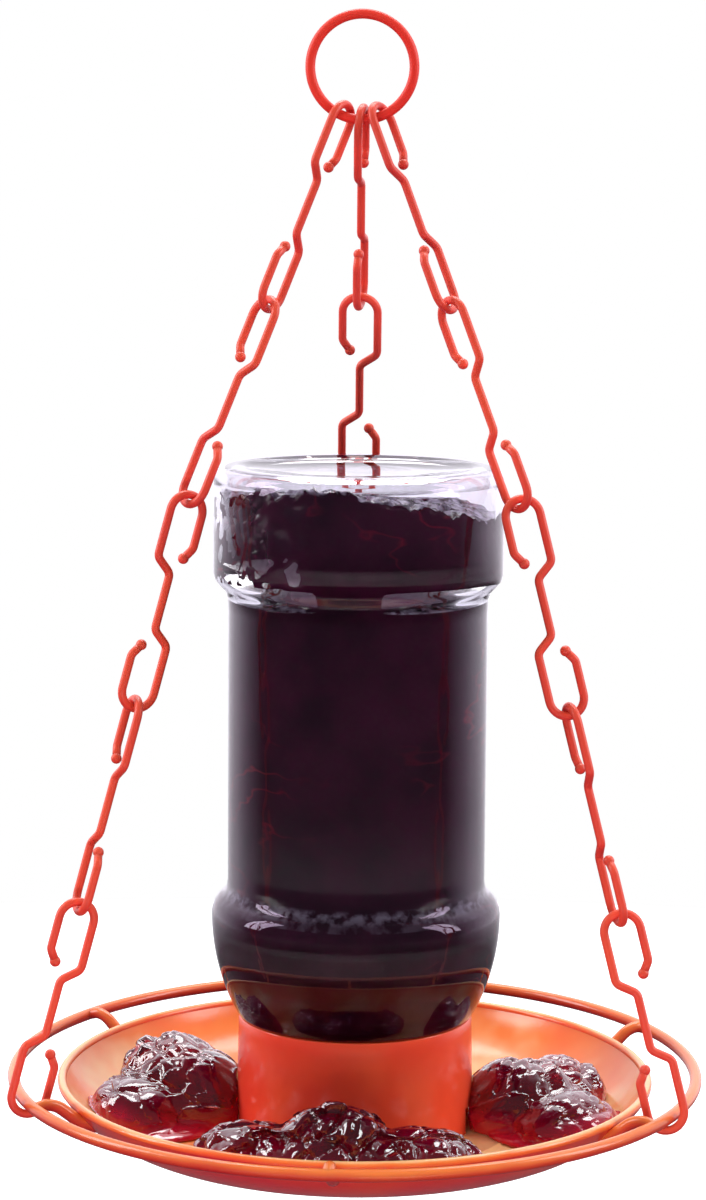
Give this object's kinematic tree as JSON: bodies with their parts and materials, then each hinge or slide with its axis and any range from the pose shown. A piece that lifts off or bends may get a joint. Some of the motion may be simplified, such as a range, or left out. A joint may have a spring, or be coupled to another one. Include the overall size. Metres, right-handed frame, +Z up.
{
  "type": "oriole feeder",
  "caption": "Hanging jelly feeder: a glass jar upside down in the collar of a round dish with a perch ring, hung on chains of long open links from one ring.",
  "frame": {"origin": "centre of the dish's foot ring, on the plane of its underside", "axes": "+Z up the jar and towards the hanging ring, +X to the right seen from the front; the ring stands in a plane parallel to XZ"},
  "size_m": [0.2356, 0.2401, 0.3798],
  "materials": {
    "ring_plastic": "glossy moulded plastic",
    "link_plastic": "glossy moulded plastic",
    "tray_plastic": "glossy, slightly see-through moulded plastic",
    "clear_glass": "clear blown glass",
    "grape_jelly": "wet, dark and slightly see-through"
  },
  "bodies": {
    "ring": {"hanging_ring": "ring_plastic"},
    "feeder": {"feeding_tray": "tray_plastic", "jar_collar": "tray_plastic", "perch_ring": "tray_plastic", "jelly_mound_left": "grape_jelly", "jelly_mound_front": "grape_jelly", "jelly_mound_right": "grape_jelly"},
    "jar": {"glass_jar": "clear_glass", "jelly_fill": "grape_jelly"},
    "left_link_1": {"left_link_1": "link_plastic"},
    "left_link_2": {"left_link_2": "link_plastic"},
    "left_link_3": {"left_link_3": "link_plastic"},
    "left_link_4": {"left_link_4": "link_plastic"},
    "left_link_5": {"left_link_5": "link_plastic"},
    "right_link_1": {"right_link_1": "link_plastic"},
    "right_link_2": {"right_link_2": "link_plastic"},
    "right_link_3": {"right_link_3": "link_plastic"},
    "right_link_4": {"right_link_4": "link_plastic"},
    "right_link_5": {"right_link_5": "link_plastic"},
    "back_link_1": {"back_link_1": "link_plastic"},
    "back_link_2": {"back_link_2": "link_plastic"},
    "back_link_3": {"back_link_3": "link_plastic"},
    "back_link_4": {"back_link_4": "link_plastic"},
    "back_link_5": {"back_link_5": "link_plastic"}
  },
  "joints": [
    {"name": "feeder_swing", "type": "hinge", "parent": "ring", "child": "feeder", "pos_m": [0, 0.0021, 0.34471], "axis": [1, 0, 0], "range_deg": [-20, 20]},
    {"name": "jar_turn", "type": "hinge", "parent": "feeder", "child": "jar", "pos_m": [0, 0, 0.0436], "axis": [0, 0, 1], "range_deg": [0, 90]},
    {"name": "left_link_1_swivel", "type": "hinge", "parent": "feeder", "child": "left_link_1", "pos_m": [-0.01743, -0.0046, 0.31555], "axis": [0.3474, 0.2072, 0.9145], "range_deg": [-10, 10]},
    {"name": "left_link_2_swivel", "type": "hinge", "parent": "feeder", "child": "left_link_2", "pos_m": [-0.0414, -0.01889, 0.25245], "axis": [0.3474, 0.2072, 0.9145], "range_deg": [-10, 10]},
    {"name": "left_link_3_swivel", "type": "hinge", "parent": "feeder", "child": "left_link_3", "pos_m": [-0.06193, -0.0302, 0.18774], "axis": [0.2475, 0.1207, 0.9613], "range_deg": [-10, 10]},
    {"name": "left_link_4_swivel", "type": "hinge", "parent": "feeder", "child": "left_link_4", "pos_m": [-0.079, -0.03853, 0.1214], "axis": [0.2475, 0.1207, 0.9613], "range_deg": [-10, 10]},
    {"name": "left_link_5_swivel", "type": "hinge", "parent": "feeder", "child": "left_link_5", "pos_m": [-0.09608, -0.04686, 0.05507], "axis": [0.2475, 0.1207, 0.9613], "range_deg": [-10, 10]},
    {"name": "right_link_1_swivel", "type": "hinge", "parent": "feeder", "child": "right_link_1", "pos_m": [0.01759, -0.0044, 0.31557], "axis": [-0.3524, 0.2011, 0.914], "range_deg": [-10, 10]},
    {"name": "right_link_2_swivel", "type": "hinge", "parent": "feeder", "child": "right_link_2", "pos_m": [0.0419, -0.01827, 0.2525], "axis": [-0.3524, 0.2011, 0.914], "range_deg": [-10, 10]},
    {"name": "right_link_3_swivel", "type": "hinge", "parent": "feeder", "child": "right_link_3", "pos_m": [0.06263, -0.0292, 0.18779], "axis": [-0.2485, 0.1159, 0.9617], "range_deg": [-10, 10]},
    {"name": "right_link_4_swivel", "type": "hinge", "parent": "feeder", "child": "right_link_4", "pos_m": [0.07977, -0.0372, 0.12144], "axis": [-0.2485, 0.1159, 0.9617], "range_deg": [-10, 10]},
    {"name": "right_link_5_swivel", "type": "hinge", "parent": "feeder", "child": "right_link_5", "pos_m": [0.09692, -0.04519, 0.05509], "axis": [-0.2485, 0.1159, 0.9617], "range_deg": [-10, 10]},
    {"name": "back_link_1_swivel", "type": "hinge", "parent": "feeder", "child": "back_link_1", "pos_m": [-0.00099, 0.01582, 0.3147], "axis": [0.0308, -0.4245, 0.9049], "range_deg": [-10, 10]},
    {"name": "back_link_2_swivel", "type": "hinge", "parent": "feeder", "child": "back_link_2", "pos_m": [-0.00312, 0.04511, 0.25226], "axis": [0.0308, -0.4245, 0.9049], "range_deg": [-10, 10]},
    {"name": "back_link_3_swivel", "type": "hinge", "parent": "feeder", "child": "back_link_3", "pos_m": [-0.00483, 0.06914, 0.18785], "axis": [0.019, -0.2723, 0.962], "range_deg": [-10, 10]},
    {"name": "back_link_4_swivel", "type": "hinge", "parent": "feeder", "child": "back_link_4", "pos_m": [-0.00615, 0.08793, 0.12147], "axis": [0.019, -0.2723, 0.962], "range_deg": [-10, 10]},
    {"name": "back_link_5_swivel", "type": "hinge", "parent": "feeder", "child": "back_link_5", "pos_m": [-0.00746, 0.10672, 0.0551], "axis": [0.019, -0.2723, 0.962], "range_deg": [-10, 10]}
  ]
}
